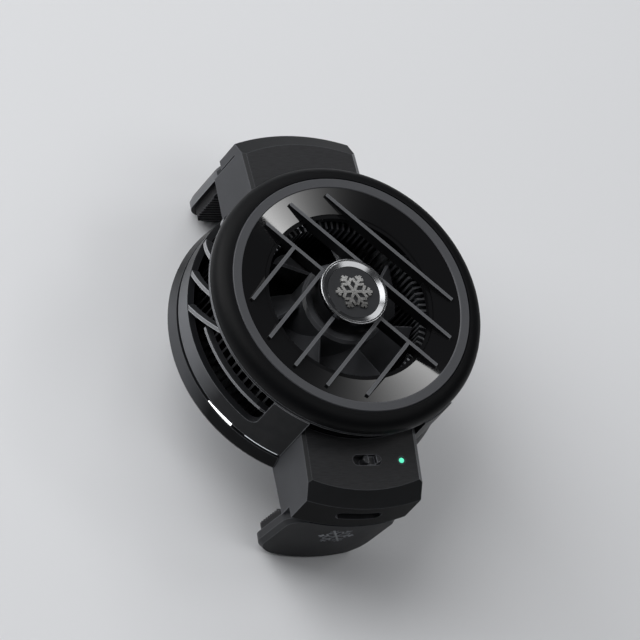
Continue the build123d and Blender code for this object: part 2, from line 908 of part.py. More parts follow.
# Hook: a tongue that follows the arm's outer arc, and a root that sits inside the arm
with BuildPart() as hook_tongue:
    with BuildSketch(Plane.XZ.offset(-arm_back_y)) as outline:
        with Locations((0, (arm_part_z - hook_drop) / 2)):
            Rectangle(2 * hook_half_w, arm_part_z + hook_drop)
        far_corners = outline.vertices().group_by(Axis.Z)[0]
        fillet(far_corners, radius=hook_corner_r)
    extrude(outline.sketch, amount=-(arm_outer_r - arm_back_y + overrun))
    disc_layer(arm_outer_r, -hook_drop, arm_part_z + hook_drop, Mode.INTERSECT)
    edge_loop = hook_tongue.edges().filter_by(
        lambda edge: edge.center().Y > arm_back_y + hook_edge and edge.center().Z < arm_part_z - slip
    )
    chamfer(edge_loop, length=hook_edge)

with BuildPart() as hook_root:
    block(
        (-lid_half_w, hook_root_y, cover_z),
        (lid_half_w, hook_root_y + hook_root_t, cover_z + hook_root_h),
    )

# Ribbed rubber pad on the inner side of a hook
pad_y = arm_back_y - pad_t
pad_low_z = pad_end_gap - hook_drop
with BuildPart() as arm_pad:
    with BuildSketch(Plane.YZ) as teeth:
        with BuildLine():
            outline = [(arm_back_y, pad_low_z), (pad_y + tooth_depth, pad_low_z)]
            for tooth in range(tooth_count):
                low = -tooth_start - (tooth_count - tooth) * tooth_pitch
                outline.append((pad_y + tooth_depth, low))
                outline.append((pad_y, low + tooth_pitch / 2 - tooth_land / 2))
                outline.append((pad_y, low + tooth_pitch / 2 + tooth_land / 2))
            outline.append((pad_y + tooth_depth, -tooth_start))
            outline.append((pad_y + tooth_depth, cover_z - pad_top_gap))
            outline.append((arm_back_y, cover_z - pad_top_gap))
            Polyline(*outline, close=True)
        make_face()
    extrude(teeth.sketch, amount=pad_half_w, both=True)
    with BuildSketch(Plane.XZ) as face:
        with Locations((0, (pad_low_z + cover_z) / 2)):
            Rectangle(2 * pad_half_w, cover_z - pad_low_z)
        fillet(face.vertices().group_by(Axis.Z)[0], radius=hook_corner_r - pad_end_gap)
    extrude(face.sketch, amount=-arm_outer_r, mode=Mode.INTERSECT)

# Sliding arm at the top: shell with a side slit, lid, hook and pad
yoke_y = arm_inner_r + yoke_gap
yoke_screw_y = yoke_y + yoke_w / 2
with BuildPart() as upper_arm_shell:
    add(arm_shell.part)
    for side in (-1, 1):
        inner, outer = sorted((side * (arm_half_w - slit_d), side * (arm_half_w + overrun)))
        block(
            (inner, arm_back_y, arm_part_z),
            (outer, arm_back_y + slit_w, arm_part_z + slit_h),
            Mode.SUBTRACT,
        )
        inner, outer = sorted((side * (rail_inner_x - part_gap), side * rail_outer_x))
        block(
            (inner, 0, rail_z - part_gap),
            (outer, arm_inner_r + arm_wall, rail_z + rail_h + part_gap),
            Mode.SUBTRACT,
        )
        post_top_z = front_height(yoke_screw_y, arm_wall / 2)
        post_low_z = rail_z + yoke_t
        pillar(side * yoke_screw_x, yoke_screw_y, arm_boss_r, post_low_z, post_top_z - post_low_z)
        pillar(
            side * yoke_screw_x,
            yoke_screw_y,
            screw_r + shaft_play,
            post_low_z,
            arm_screw_length,
            Mode.SUBTRACT,
        )
keep(upper_arm_shell, "upper_arm_shell")
keep(arm_lid, "upper_arm_lid")
keep(arm_screws, "upper_arm_screws")
with BuildPart() as upper_hook:
    add(hook_tongue.part)
    add(hook_root.part)
keep(upper_hook, "upper_hook")
keep(arm_pad, "upper_grip_pad")

# Slide yoke: two flat rails beside the cooling module, joined by a bar inside the arm
with BuildPart() as slide_yoke:
    for side in (-1, 1):
        inner, outer = sorted((side * rail_inner_x, side * rail_outer_x))
        block((inner, rail_inner_y, rail_z), (outer, yoke_y + yoke_w, rail_z + rail_h))
        inner, outer = sorted((side * rail_outer_x, side * (rail_outer_x + tab_reach)))
        block((inner, tab_y, rail_z), (outer, tab_y + tab_w, rail_z + rail_h))
    block(
        (-rail_outer_x, yoke_y, rail_z),
        (rail_outer_x, yoke_y + yoke_w, rail_z + yoke_t),
    )
    for side in (-1, 1):
        x = side * yoke_screw_x
        pillar(x, yoke_screw_y, screw_r + shaft_play, rail_z, yoke_t, Mode.SUBTRACT)
keep(slide_yoke, "slide_yoke")

with BuildPart() as yoke_screws:
    for side in (-1, 1):
        low_z = rail_z - screw_head_h
        length = screw_head_h + yoke_t + arm_screw_length - slip
        rear_screw(side * yoke_screw_x, yoke_screw_y, low_z, length)
keep(yoke_screws, "yoke_screws")

# Guides for the rails. A tab on each rail meets its guide when the arm is fully out.
guide_y = tab_y + tab_w + arm_travel + arm_gap
guide_end_y = recess_r - guide_end_gap
with BuildPart() as slide_guides:
    for side in (-1, 1):
        slot_inner_x = rail_inner_x - part_gap
        slot_outer_x = rail_outer_x + part_gap
        inner, outer = sorted((side * (slot_inner_x - guide_cheek), side * (slot_outer_x + guide_cheek)))
        block((inner, guide_y, floor_z), (outer, guide_end_y, sink_z - soft_gap))
        inner, outer = sorted((side * slot_inner_x, side * slot_outer_x))
        block(
            (inner, guide_y, rail_z - part_gap),
            (outer, guide_end_y, sink_z),
            Mode.SUBTRACT,
        )
keep(slide_guides, "slide_guides")

# Return springs, drawn as plain sleeves between the cover's pegs and the rails' tabs
for name, side in (("left_return_spring", -1), ("right_return_spring", 1)):
    with BuildPart() as spring:
        low_y = spring_anchor_y + post_r + slip
        with BuildSketch(Plane.XZ.offset(-low_y)) as coil:
            with Locations((side * spring_x, rail_z + rail_h / 2)):
                Circle(spring_r)
                Circle(spring_r - spring_wall, mode=Mode.SUBTRACT)
        extrude(coil.sketch, amount=-(tab_y - low_y))
    keep(spring, name)

# Fixed arm at the bottom, with openings for the switch, the light and the power port
switch_y = arm_inner_r + switch_gap
light_y = arm_inner_r + light_gap
board_z = port_z + socket_h / 2
board_top_z = board_z + board_t
switch_face_z = front_height(switch_y)
knob_flange_top_z = front_height(switch_y + knob_flange_d / 2, arm_wall) - knob_lift

with BuildPart() as lower_arm_shell:
    mirror(arm_shell.part, about=Plane.XZ)
    for side in (-1, 1):
        pillar(
            side * arm_screw_x,
            -arm_screw_y,
            board_step_r,
            floor_z,
            board_z - floor_z,
        )
        pillar(
            side * arm_screw_x,
            -arm_screw_y,
            screw_r + shaft_play,
            floor_z,
            arm_screw_length,
            Mode.SUBTRACT,
        )
        with BuildSketch(Plane.XZ):
            with Locations((side * lead_x, lead_z)):
                Circle(lead_r + part_gap)
            with Locations((side * fan_lead_x, fan_lead_z)):
                Circle(fan_lead_r + part_gap)
        extrude(amount=arm_inner_r + arm_wall, mode=Mode.SUBTRACT)
    with BuildSketch(Plane.XY.offset(knob_flange_top_z)):
        with Locations((switch_x, -switch_y)):
            SlotOverall(slot_w, slot_h)
    extrude(amount=arm_wall * 3, mode=Mode.SUBTRACT)
    pillar(light_x, -light_y, light_r + slip, board_top_z, arm_front_z - board_top_z, Mode.SUBTRACT)
    light_face_z = front_height(light_y)
    pillar(light_x, -light_y, light_ring_r, light_face_z - light_groove, arm_wall, Mode.SUBTRACT)
    with BuildSketch(Plane.XZ.offset(arm_outer_r + overrun)):
        with Locations((0, port_z)):
            SlotOverall(port_w, port_h)
    extrude(amount=-(overrun + 2 * arm_wall), mode=Mode.SUBTRACT)
keep(lower_arm_shell, "lower_arm_shell")

for name, form in (
    ("lower_arm_lid", arm_lid),
    ("lower_arm_screws", arm_screws),
):
    with BuildPart() as twin:
        mirror(form.part, about=Plane.XZ)
    keep(twin, name)

# The fixed arm's hook leans in over the phone and carries a small sunken snowflake
lean_axis = Axis((0, -arm_outer_r, arm_part_z), (1, 0, 0))
leaning_tongue = hook_tongue.part.mirror(Plane.XZ).rotate(lean_axis, hook_lean)
leaning_pad = arm_pad.part.mirror(Plane.XZ).rotate(lean_axis, hook_lean)

with BuildPart() as lower_hook:
    add(leaning_tongue)
    block(
        (-arm_half_w, -arm_outer_r - overrun, arm_part_z),
        (arm_half_w, 0, arm_part_z + overrun),
        Mode.SUBTRACT,
    )
    block((-arm_half_w, -arm_back_y, cover_z), (arm_half_w, 0, arm_part_z), Mode.SUBTRACT)
    with BuildSketch(Plane.XZ.offset(arm_outer_r - mark_depth)) as mark:
        with BuildSketch(mode=Mode.PRIVATE) as flake:
            snowflake(mark_r, mark_line_w)
        with Locations((0, mark_z)):
            add(flake.sketch)
    sunken_mark = extrude(mark.sketch, amount=overrun, mode=Mode.PRIVATE)
    add(sunken_mark.rotate(lean_axis, hook_lean), mode=Mode.SUBTRACT)
    mirror(hook_root.part, about=Plane.XZ)
keep(lower_hook, "lower_hook")

with BuildPart() as lower_grip_pad:
    add(leaning_pad)
    block(
        (-arm_half_w, -arm_outer_r, cover_z - arm_gap),
        (arm_half_w, 0, cover_z + overrun),
        Mode.SUBTRACT,
    )
keep(lower_grip_pad, "lower_grip_pad")

# Control board with its port, switch and light
board_inner_y = arm_inner_r + board_gap
board_outer_y = arm_outer_r - board_end_gap
with BuildPart() as control_board:
    block(
        (-board_half_w, -board_outer_y, board_z),
        (board_half_w, -board_inner_y, board_top_z),
    )
    for side in (-1, 1):
        x = side * arm_screw_x
        pillar(x, -arm_screw_y, arm_boss_r + soft_gap, board_z, board_t, Mode.SUBTRACT)
keep(control_board, "control_board")

socket_mouth_y = arm_outer_r - socket_set_back
with BuildPart() as power_socket:
    with BuildSketch(Plane.XZ.offset(socket_mouth_y - socket_depth)) as shell:
        with Locations((0, port_z)):
            SlotOverall(socket_w, socket_h)
    extrude(shell.sketch, amount=socket_depth)
    with BuildSketch(Plane.XZ.offset(socket_mouth_y - socket_depth + socket_wall)) as hollow:
        with Locations((0, port_z)):
            SlotOverall(socket_w - 2 * socket_wall, socket_h - 2 * socket_wall)
    extrude(hollow.sketch, amount=socket_depth, mode=Mode.SUBTRACT)
keep(power_socket, "power_socket")

with BuildPart() as socket_tongue:
    inner_y = socket_mouth_y - socket_depth + socket_wall
    block(
        (-tongue_w / 2, -inner_y - tongue_length, port_z - tongue_t / 2),
        (tongue_w / 2, -inner_y, port_z + tongue_t / 2),
    )
keep(socket_tongue, "socket_tongue")

# Slide switch: a body on the board and a knob with two ridges. The knob rests at its +X end.
knob_high_x = switch_x + slot_w / 2 - part_gap
knob_low_x = knob_high_x - knob_w
knob_flange_z = knob_flange_top_z - knob_flange_t
knob_mid_x = (knob_low_x + knob_high_x) / 2
knob_half_d = slot_h / 2 - part_gap
with BuildPart() as switch_knob:
    block(
        (knob_mid_x - knob_flange_w / 2, -switch_y - knob_flange_d / 2, knob_flange_z),
        (knob_mid_x + knob_flange_w / 2, -switch_y + knob_flange_d / 2, knob_flange_top_z),
    )
    knob_top_z = switch_face_z + knob_proud
    with BuildSketch(Plane.XY.offset(knob_flange_z)) as foot:
        with Locations((knob_mid_x, -switch_y)):
            SlotOverall(knob_w, 2 * knob_half_d)
    extrude(foot.sketch, amount=knob_top_z - knob_flange_z)
    fillet(switch_knob.faces().sort_by(Axis.Z)[-1].edges(), radius=knob_round)
    valley_half = knob_w / 2 - knob_ridge_w
    block(
        (knob_mid_x - valley_half, -switch_y - slot_h, switch_face_z - knob_dip),
        (knob_mid_x + valley_half, -switch_y + slot_h, knob_top_z),
        Mode.SUBTRACT,
    )
keep(switch_knob, "switch_knob")

with BuildPart() as switch_body:
    block(
        (switch_x - switch_body_w / 2, -switch_y - switch_body_d / 2, board_top_z),
        (switch_x + switch_body_w / 2, -switch_y + switch_body_d / 2, knob_flange_z - knob_gap),
    )
keep(switch_body, "switch_body")

with BuildPart() as status_led:
    block(
        (light_x - chip_half, -light_y - chip_half, board_top_z),
        (light_x + chip_half, -light_y + chip_half, board_top_z + chip_h),
    )
keep(status_led, "status_led")

with BuildPart() as status_lens:
    lens_z = board_top_z + chip_h
    pillar(light_x, -light_y, light_r, lens_z, light_face_z + light_proud - lens_z)
    fillet(status_lens.edges().group_by(Axis.Z)[-1], radius=light_proud * 2)
keep(status_lens, "status_lens")

# Two leads from the board to the cooling module, and two to the motor between the fins
lead_turn_y = board_inner_y + lead_turn_gap
fan_lead_turn_y = board_inner_y + fan_lead_turn_gap
for name, x, start_y, low_z, turn_y, bend_r, radius in (
    ("module_leads", lead_x, foam_outer, lead_z, lead_turn_y, lead_bend_r, lead_r),
    ("motor_leads", fan_lead_x, motor_board_r, fan_lead_z, fan_lead_turn_y, fan_lead_bend_r, fan_lead_r),
):
    with BuildPart() as leads:
        for side in (-1, 1):
            with BuildLine() as route:
                FilletPolyline(
                    (side * x, -start_y, low_z),
                    (side * x, -turn_y, low_z),
                    (side * x, -turn_y, board_z),
                    radius=bend_r,
                )
            with BuildSketch(Plane(route.line @ 0, z_dir=route.line % 0)) as wire:
                Circle(radius)
            sweep(wire.sketch, path=route.line)
    keep(leads, name)
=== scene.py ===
import json
import math

import bmesh
import bpy
from mathutils import Matrix, Vector


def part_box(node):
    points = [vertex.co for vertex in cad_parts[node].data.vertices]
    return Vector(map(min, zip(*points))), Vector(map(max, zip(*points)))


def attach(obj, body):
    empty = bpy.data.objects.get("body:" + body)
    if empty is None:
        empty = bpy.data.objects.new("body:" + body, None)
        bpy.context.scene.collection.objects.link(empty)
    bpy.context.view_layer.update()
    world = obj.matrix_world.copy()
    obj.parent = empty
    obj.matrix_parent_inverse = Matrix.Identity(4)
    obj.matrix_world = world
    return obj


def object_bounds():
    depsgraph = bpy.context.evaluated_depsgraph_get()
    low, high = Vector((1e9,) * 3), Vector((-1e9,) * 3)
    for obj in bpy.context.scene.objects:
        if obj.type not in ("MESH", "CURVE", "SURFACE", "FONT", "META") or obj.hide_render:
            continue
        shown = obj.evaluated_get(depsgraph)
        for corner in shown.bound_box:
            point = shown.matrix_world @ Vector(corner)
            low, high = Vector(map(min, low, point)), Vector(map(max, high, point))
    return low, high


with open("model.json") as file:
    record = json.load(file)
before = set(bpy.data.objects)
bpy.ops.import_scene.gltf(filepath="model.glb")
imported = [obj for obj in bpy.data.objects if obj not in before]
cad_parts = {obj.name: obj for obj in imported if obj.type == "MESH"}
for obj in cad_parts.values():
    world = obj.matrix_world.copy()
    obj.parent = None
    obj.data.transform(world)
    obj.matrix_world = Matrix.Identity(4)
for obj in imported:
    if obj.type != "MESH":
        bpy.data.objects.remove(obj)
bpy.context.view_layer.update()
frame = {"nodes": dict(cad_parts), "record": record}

nodes = frame["nodes"]
MM = 0.001

# Camera: a long lens whose axes in the frame were fitted to the photograph's rings and bars
IMAGE_PX = 640
IMAGE_RIGHT = Vector((0.9005, -0.1847, 0.3936))
IMAGE_UP = Vector((-0.0023, 0.9033, 0.4291))
LENS_MM = 484.4
SENSOR_MM = 36.0
CAMERA_DISTANCE = 1.752
CLIP_NEAR = 0.1
CLIP_FAR = 20.0
RING_CENTRE_PX = (351.97, 294.08)

# Floor and world
FLOOR_COLOUR = (0.78, 0.79, 0.81)
FLOOR_ROUGHNESS = 0.75
FLOOR_HALF = 6.0
FLOOR_GAP = 0.05 * MM
WORLD_COLOUR = (0.42, 0.43, 0.45)
WORLD_STRENGTH = 0.13

# Softboxes: name, direction, distance, width, height, radiance, direction of the width
LIT_POINT = Vector((0, 0, 0.02))
SOFTBOXES = (
    ("left_box", (-0.50, 0.38, 0.78), 1.4, 1.1, 1.0, 3.0, None),
    ("right_box", (0.30, -0.31, 0.88), 1.4, 1.1, 0.5, 1.6, (0.75, -0.03, -0.26)),
    ("back_box", (0.00, 0.84, 0.54), 1.4, 0.8, 0.6, 1.7, None),
    ("side_box", (-0.72, 0.60, 0.30), 1.0, 0.9, 0.4, 5.0, None),
)

# Softboxes mirrored in the funnel: name, bright and dim end in degrees, radiance, power of the fade
FUNNEL_SLOPE = 11.3
FUNNEL_BOX_DISTANCE = 0.8
FUNNEL_BOX_HEIGHT = 0.24
FUNNEL_BOXES = (
    ("funnel_box_upper", 130.6, 55.0, 7.4, 3.2),
    ("funnel_box_lower", -50.2, -130.0, 5.2, 2.2),
)

# Lit stretches of the light guide: name, start and end in degrees, lower edge, height at the start
# and at the end, material
GUIDE_R = 29.95 * MM
GUIDE_DEPTH = 0.15 * MM
GUIDE_STEPS = 24
LIT_ARCS = (
    ("light_segment", 208.5, 221.5, 5.02 * MM, 0.15 * MM, 0.80 * MM, "light_guide_lit"),
    ("light_trace", 228.0, 243.0, 5.60 * MM, 0.25 * MM, 0.20 * MM, "light_guide_dim"),
)

# Ends of the painted light and shade that run along an axis
BAND_PAINTED_SHADE_X = 25.8 * MM
BAND_PAINTED_LIGHT_X = 30.0 * MM
EMBLEM_PAINTED_SHADE_Y = -3.5 * MM
EMBLEM_PAINTED_LIGHT_Y = 3.5 * MM
FIN_PAINTED_SHADE_Z = 16.5 * MM
FIN_PAINTED_LIGHT_Z = 19.0 * MM

# Edge wear and painted edge highlight: its width, and the cosine between the rounded and the true
# normal where it starts and where it is full
EDGE_WEAR_AND_HIGHLIGHT_W = 0.3 * MM
EDGE_WEAR_AND_HIGHLIGHT_SAMPLES = 6
EDGE_WEAR_AND_HIGHLIGHT_START = 0.995
EDGE_WEAR_AND_HIGHLIGHT_FULL = 0.93

# Places that tell a node's faces apart
FINE = 0.05 * MM
VENT_LOW_Z = 10.6 * MM
VENT_TOP_Z = 21.2 * MM
RIM_TOP_Z = 22.0 * MM
RIM_R = 29.0 * MM
BAND_R = 29.5 * MM
STRUT_R = 28.1 * MM
STRUT_END_UPPER_X = 17.0 * MM
STRUT_END_LOWER_X = 21.2 * MM
BAR_LOW_Z = 24.5 * MM
GRILLE_RING_INNER_R = 17.6 * MM
GRILLE_RING_OUTER_R = 18.7 * MM
ARM_END_R = 41.0 * MM
HOOK_LEAN = math.radians(6.0)
MARK_R = 4.2 * MM
MARK_DEPTH = 0.2 * MM
MARK_SLACK = 0.03 * MM

# Shares of a face's normal that tell its direction
LEVEL_SHARE = 0.98
BAR_TOP_SHARE = 0.9
UPRIGHT_SHARE = 0.5
CHAMFER_SHARE = 0.3
ARM_END_SHARE = 0.6
HOOK_SIDE_SHARE = 0.95
MARK_FLOOR_SHARE = 0.9999
MARK_WALL_SHARE = 0.2


# Node materials

MATERIALS = {}

# Sockets of a Mix node for colours, whose names aren't unique
MIX_FACTOR = 0
MIX_LOW = 6
MIX_HIGH = 7
MIX_RESULT = 2


class Nodes:
    """A material's node tree with short calls for its nodes, kept in MATERIALS under its name."""

    def __init__(self, name):
        self.material = bpy.data.materials.new(name)
        self.material.use_nodes = True
        self.tree = self.material.node_tree
        self.shader = self.tree.nodes["Principled BSDF"]
        self.place = self.add("ShaderNodeTexCoord").outputs["Object"]
        MATERIALS[name] = self.material

    def add(self, kind, **values):
        node = self.tree.nodes.new(kind)
        for key, value in values.items():
            if key in node.inputs:
                node.inputs[key].default_value = value
            else:
                setattr(node, key, value)
        return node

    def link(self, out, into):
        self.tree.links.new(out, into)

    def noise(self, scale, detail, stretch=None, roughness=0.5):
        """Noise over the object's own place, stretched along an axis if asked."""
        place = self.place
        if stretch:
            mapping = self.add("ShaderNodeMapping")
            mapping.inputs["Scale"].default_value = stretch
            self.link(place, mapping.inputs["Vector"])
            place = mapping.outputs["Vector"]
        noise = self.add("ShaderNodeTexNoise", Scale=scale, Detail=detail, Roughness=roughness)
        self.link(place, noise.inputs["Vector"])
        return noise.outputs["Fac"]

    def ramp(self, factor, low, high, from_low, from_high):
        """Maps a factor from one range to another."""
        node = self.add("ShaderNodeMapRange")
        node.inputs["From Min"].default_value = from_low
        node.inputs["From Max"].default_value = from_high
        node.inputs["To Min"].default_value = low
        node.inputs["To Max"].default_value = high
        self.link(factor, node.inputs["Value"])
        return node.outputs["Result"]

    def add_factors(self, first, second, share):
        """The first factor and a share of the second."""
        node = self.add("ShaderNodeMath", operation="MULTIPLY_ADD")
        self.link(second, node.inputs[0])
        node.inputs[1].default_value = share
        self.link(first, node.inputs[2])
        return node.outputs["Value"]

    def along(self, axis, low, high, mirrored=False):
        """0 to 1 along an axis of the object's own place, on both sides of it if mirrored."""
        split = self.add("ShaderNodeSeparateXYZ")
        self.link(self.place, split.inputs["Vector"])
        place = split.outputs[axis]
        if mirrored:
            size = self.add("ShaderNodeMath", operation="ABSOLUTE")
            self.link(place, size.inputs[0])
            place = size.outputs["Value"]
        return self.ramp(place, 0.0, 1.0, low, high)

    def edge_wear_and_highlight(self):
        """1 along the sharp edges of the mesh, 0 elsewhere: the mask of edge wear and painted edge
        highlights.
        """
        rounded = self.add("ShaderNodeBevel", samples=EDGE_WEAR_AND_HIGHLIGHT_SAMPLES, Radius=EDGE_WEAR_AND_HIGHLIGHT_W)
        geometry = self.add("ShaderNodeNewGeometry")
        facing = self.add("ShaderNodeVectorMath", operation="DOT_PRODUCT")
        self.link(rounded.outputs["Normal"], facing.inputs[0])
        self.link(geometry.outputs["Normal"], facing.inputs[1])
        return self.ramp(facing.outputs["Value"], 0.0, 1.0, EDGE_WEAR_AND_HIGHLIGHT_START, EDGE_WEAR_AND_HIGHLIGHT_FULL)

    def mix_colour(self, factor, low, high):
        """Mixes two colours, of which the low one may come from another node."""
        node = self.add("ShaderNodeMix", data_type="RGBA")
        self.link(factor, node.inputs[MIX_FACTOR])
        if isinstance(low, bpy.types.NodeSocket):
            self.link(low, node.inputs[MIX_LOW])
        else:
            node.inputs[MIX_LOW].default_value = (*low, 1.0)
        node.inputs[MIX_HIGH].default_value = (*high, 1.0)
        return node.outputs[MIX_RESULT]

    def set_colour(self, colour):
        self.link(colour, self.shader.inputs["Base Color"])

    def set_colour_with_worn_lit_edges(self, body, edge):
        """The body's colour, with a lighter edge colour along the sharp edges that is part wear,
        part painted highlight.
        """
        self.set_colour(self.mix_colour(self.edge_wear_and_highlight(), body, edge))

    def set_roughness(self, factor, low, high, from_low, from_high):
        rough = self.ramp(factor, low, high, from_low, from_high)
        self.link(rough, self.shader.inputs["Roughness"])

    def set_bump(self, height, strength, distance):
        node = self.add("ShaderNodeBump", Strength=strength, Distance=distance)
        self.link(height, node.inputs["Height"])
        self.link(node.outputs["Normal"], self.shader.inputs["Normal"])


def scaled(colour, share):
    return tuple(min(1.0, channel * share) for channel in colour)


def moulded(
    name, colour, roughness, grain=9000.0, grain_depth=0.01, spread=0.12, wear_and_highlight=1.5, specular=0.5
):
    """Moulded plastic or paint: fine grain, slow colour drift and lighter edges, part wear and part
    painted highlight.
    """
    n = Nodes(name)
    fine = n.noise(scale=grain, detail=2.0)
    slow = n.noise(scale=140.0, detail=3.0)
    mottled = n.add_factors(slow, fine, share=0.5)
    body = n.mix_colour(mottled, scaled(colour, 1 - spread), scaled(colour, 1 + spread))
    n.set_colour_with_worn_lit_edges(body, scaled(colour, wear_and_highlight))
    n.set_roughness(mottled, roughness - 0.05, roughness + 0.05, from_low=0.3, from_high=1.2)
    n.shader.inputs["Specular IOR Level"].default_value = specular
    n.set_bump(fine, strength=0.35, distance=grain_depth * MM)


def satin_band_with_painted_light(name, dark, light, roughness):
    """Satin paint of the drum's bands, with painted light that makes them lighter along the sides
    and painted shade near the arms.
    """
    n = Nodes(name)
    side = n.along("X", BAND_PAINTED_SHADE_X, BAND_PAINTED_LIGHT_X, mirrored=True)
    fine = n.noise(scale=9000.0, detail=2.0)
    cloud = n.noise(scale=300.0, detail=3.0)
    body = n.mix_colour(n.add_factors(side, cloud, share=0.12), dark, light)
    n.set_colour_with_worn_lit_edges(body, scaled(light, 1.6))
    n.set_roughness(fine, roughness - 0.05, roughness + 0.05, from_low=0.3, from_high=0.7)
    n.shader.inputs["Specular IOR Level"].default_value = 0.06
    n.set_bump(fine, strength=0.3, distance=0.004 * MM)


def brushed_plastic(name, colour, roughness, stretch, specular=0.25):
    """Dark plastic with fine parallel brush lines."""
    n = Nodes(name)
    lines = n.noise(scale=500.0, detail=4.0, stretch=stretch, roughness=0.65)
    fine = n.noise(scale=9000.0, detail=2.0)
    both = n.add_factors(lines, fine, share=0.4)
    sharp = n.ramp(lines, 0.0, 1.0, from_low=0.25, from_high=0.75)
    body = n.mix_colour(sharp, scaled(colour, 0.45), scaled(colour, 1.6))
    n.set_colour_with_worn_lit_edges(body, scaled(colour, 6.0))
    n.set_roughness(both, roughness - 0.08, roughness + 0.08, from_low=0.3, from_high=1.1)
    n.shader.inputs["Specular IOR Level"].default_value = specular
    n.set_bump(both, strength=0.35, distance=0.008 * MM)


def gloss(name, colour, roughness):
    """Glossy moulding with very slight ripple and dust-fine roughness change."""
    n = Nodes(name)
    slow = n.noise(scale=60.0, detail=2.0)
    fine = n.noise(scale=6000.0, detail=2.0)
    mixed = n.add_factors(slow, fine, share=0.3)
    n.set_colour(n.mix_colour(mixed, scaled(colour, 0.9), scaled(colour, 1.1)))
    n.set_roughness(mixed, roughness, roughness + 0.05, from_low=0.4, from_high=1.2)
    n.shader.inputs["Specular IOR Level"].default_value = 0.8
    n.set_bump(fine, strength=0.1, distance=0.001 * MM)


def glowing(name, colour, strength, body=(0.8, 0.85, 0.9)):
    """A lit lens or light guide."""
    n = Nodes(name)
    slow = n.noise(scale=900.0, detail=2.0)
    n.set_colour(n.mix_colour(slow, scaled(body, 0.9), body))
    n.link(n.mix_colour(slow, scaled(colour, 0.92), colour), n.shader.inputs["Emission Color"])
    n.shader.inputs["Emission Strength"].default_value = strength
    n.shader.inputs["Roughness"].default_value = 0.3


def metal(name, colour, roughness, stretch=None, scale=2500.0, depth=0.004, spread=0.1):
    """Metal with fine marks, drawn out along an axis if stretched."""
    n = Nodes(name)
    marks = n.noise(scale=scale, detail=4.0, stretch=stretch)
    slow = n.noise(scale=200.0, detail=2.0)
    mottled = n.add_factors(slow, marks, share=0.6)
    n.set_colour(n.mix_colour(mottled, scaled(colour, 1 - spread), scaled(colour, 1 + spread)))
    n.shader.inputs["Metallic"].default_value = 1.0
    smoothest = max(0.03, roughness - 0.06)
    n.set_roughness(mottled, smoothest, roughness + 0.06, from_low=0.3, from_high=1.3)
    n.set_bump(marks, strength=0.3, distance=depth * MM)


def metal_with_painted_shading(name, dark, light, roughness, axis, dark_end, light_end):
    """Metal with painted shading: its tone runs from dark to light along an axis."""
    n = Nodes(name)
    painted_shading = n.along(axis, dark_end, light_end)
    marks = n.noise(scale=2500.0, detail=4.0)
    n.set_colour(n.mix_colour(n.add_factors(painted_shading, marks, share=0.15), dark, light))
    n.shader.inputs["Metallic"].default_value = 0.8
    n.set_roughness(marks, roughness - 0.06, roughness + 0.06, from_low=0.3, from_high=0.7)
    n.set_bump(marks, strength=0.3, distance=0.003 * MM)


def turned_metal(name, colour, roughness):
    """Metal faced on a lathe: fine rings about the fan's axis."""
    n = Nodes(name)
    rings = n.add(
        "ShaderNodeTexWave", wave_type="RINGS", rings_direction="Z", Scale=900.0, Distortion=1.5
    )
    n.link(n.place, rings.inputs["Vector"])
    fine = n.noise(scale=3000.0, detail=3.0)
    both = n.add_factors(rings.outputs["Fac"], fine, share=0.5)
    n.set_colour(n.mix_colour(both, scaled(colour, 0.85), colour))
    n.shader.inputs["Metallic"].default_value = 1.0
    n.set_roughness(both, roughness - 0.05, roughness + 0.08, from_low=0.2, from_high=1.3)
    n.set_bump(both, strength=0.25, distance=0.003 * MM)


# Housing, rear cover and bezel
moulded("shell_black", (0.012, 0.0125, 0.014), 0.36, spread=0.2, wear_and_highlight=2.5, specular=0.15)
# Lit and shaded copies of one grey: painted light on the struts' upright faces and the arms' right
# chamfers, painted shade on the struts' top and bottom faces
moulded("painted_lit_grey", (0.140, 0.144, 0.152), 0.32, grain_depth=0.004, wear_and_highlight=3.2)
moulded(
    "strut_painted_shade", (0.020, 0.021, 0.023), 0.40, grain_depth=0.004, wear_and_highlight=3.0, specular=0.3
)
# The drum's bands: real satin paint, with painted light along the sides and painted shade near the
# arms
satin_band_with_painted_light("band_grey", (0.014, 0.0144, 0.0155), (0.135, 0.139, 0.148), 0.34)
satin_band_with_painted_light("rim_band", (0.020, 0.021, 0.023), (0.150, 0.154, 0.163), 0.32)
satin_band_with_painted_light("rear_band", (0.0055, 0.0057, 0.0062), (0.070, 0.072, 0.077), 0.34)
moulded(
    "bezel_black", (0.0030, 0.0032, 0.0038), 0.48, grain_depth=0.003, wear_and_highlight=2.0, specular=0.10
)
moulded("light_guide", (0.006, 0.006, 0.007), 0.3, grain_depth=0.003, specular=0.2)
glowing("light_guide_lit", (1.0, 1.0, 1.0), strength=2.2)
glowing("light_guide_dim", (0.8, 0.85, 0.9), strength=0.45)

# Intake: funnel, ring, grille, hub and fan
gloss("funnel_gloss", (0.0045, 0.0045, 0.005), 0.03)
moulded(
    "ring_grey", (0.060, 0.062, 0.068), 0.45, grain_depth=0.004, spread=0.06, specular=0.3
)
moulded(
    "grille_satin", (0.0075, 0.0078, 0.0086), 0.34, grain_depth=0.003, wear_and_highlight=2.5, specular=0.3
)
moulded("bar_top", (0.080, 0.083, 0.090), 0.36, grain_depth=0.004, spread=0.1, wear_and_highlight=1.6)
metal("rim_polished", (0.33, 0.335, 0.345), 0.19, scale=600.0, depth=0.0002, spread=0.04)
moulded(
    "badge_grey", (0.020, 0.021, 0.0235), 0.42, grain_depth=0.004, spread=0.06, specular=0.3
)
# The emblem: painted shading, darker towards -Y and lighter towards +Y
metal_with_painted_shading(
    "emblem_metal", (0.09, 0.088, 0.085), (0.62, 0.62, 0.61), 0.30,
    "Y", EMBLEM_PAINTED_SHADE_Y, EMBLEM_PAINTED_LIGHT_Y,
)
moulded("fan_plastic", (0.062, 0.064, 0.070), 0.34, grain_depth=0.004, wear_and_highlight=2.0)
